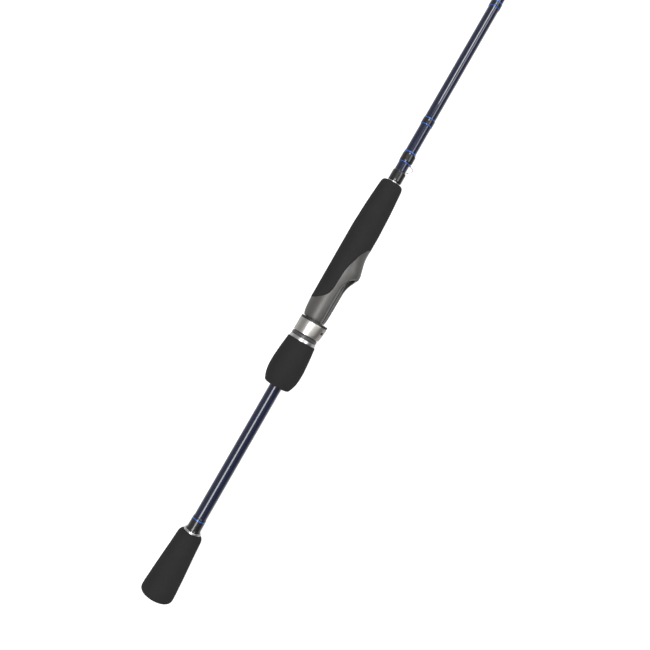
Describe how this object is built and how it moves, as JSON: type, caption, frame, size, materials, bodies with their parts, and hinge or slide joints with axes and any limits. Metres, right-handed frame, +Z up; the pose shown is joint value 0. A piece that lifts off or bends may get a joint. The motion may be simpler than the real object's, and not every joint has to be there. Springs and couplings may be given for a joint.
{
  "type": "spinning rod",
  "caption": "Spinning fishing rod with a split foam grip, a screw-locked pipe reel seat, a hook keeper and ceramic-ringed line guides.",
  "frame": {"origin": "centre of the butt grip's flat end face, on the blank's axis", "axes": "+X along the blank from the butt to the tip; the reel seat's bed and all the guides face -Y; +Z up, with the rod lying on its side"},
  "size_m": [2.1399, 0.0573, 0.0316],
  "materials": {
    "blank": "navy clear-coated graphite fibre, high gloss",
    "foam": "matte closed-cell foam",
    "polished_metal": "polished",
    "satin_metal": "satin brushed round the rod",
    "graphite_resin": "satin gunmetal moulded graphite resin",
    "dark_resin": "satin dark grey",
    "black_thread": "wound thread under glossy epoxy",
    "blue_thread": "metallic thread under glossy epoxy",
    "guide_frame": "dark polished plating",
    "guide_ring": "polished",
    "arbor": "rigid foam"
  },
  "bodies": {
    "rod": {"blank": "blank", "butt_grip": "foam", "fore_grip": "foam", "butt_check": "polished_metal", "fore_check": "polished_metal", "hook_keeper": "polished_metal", "seat_body": "graphite_resin", "fixed_hood_pad": "dark_resin", "butt_wrap": "black_thread", "keeper_rear_wrap": "black_thread", "keeper_front_wrap": "black_thread", "rear_band": "black_thread", "front_band": "black_thread", "guide_1_rear_wrap": "black_thread", "guide_1_front_wrap": "black_thread", "guide_2_rear_wrap": "black_thread", "guide_2_front_wrap": "black_thread", "guide_3_wrap": "black_thread", "guide_4_wrap": "black_thread", "guide_5_wrap": "black_thread", "guide_6_wrap": "black_thread", "guide_7_wrap": "black_thread", "tip_wrap": "black_thread", "butt_trim": "blue_thread", "keeper_trim_rear": "blue_thread", "keeper_trim_front": "blue_thread", "rear_band_trim_rear": "blue_thread", "rear_band_trim_front": "blue_thread", "front_band_trim_rear": "blue_thread", "front_band_trim_front": "blue_thread", "guide_1_frame": "guide_frame", "guide_2_frame": "guide_frame", "guide_3_frame": "guide_frame", "guide_4_frame": "guide_frame", "guide_5_frame": "guide_frame", "guide_6_frame": "guide_frame", "guide_7_frame": "guide_frame", "tip_top_frame": "guide_frame", "guide_1_ring": "guide_ring", "guide_2_ring": "guide_ring", "guide_3_ring": "guide_ring", "guide_4_ring": "guide_ring", "guide_5_ring": "guide_ring", "guide_6_ring": "guide_ring", "guide_7_ring": "guide_ring", "tip_top_ring": "guide_ring", "rear_arbor": "arbor", "front_arbor": "arbor"},
    "hood": {"hood_shell": "satin_metal", "hood_liner": "dark_resin"},
    "nut": {"lock_nut": "graphite_resin", "nut_ring": "polished_metal", "nut_grip": "foam"}
  },
  "joints": [
    {"name": "hood_slide", "type": "slide", "parent": "rod", "child": "hood", "axis": [-1, 0, 0], "range_m": [0, 0.015]},
    {"name": "lock_nut_turn", "type": "hinge", "parent": "hood", "child": "nut", "pos_m": [0.25, 0, 0], "axis": [-1, 0, 0], "range_deg": [0, 2160]}
  ],
  "couplings": [
    {"joint": "hood_slide", "follows": "lock_nut_turn", "m_per_rad": 0.00039788}
  ]
}
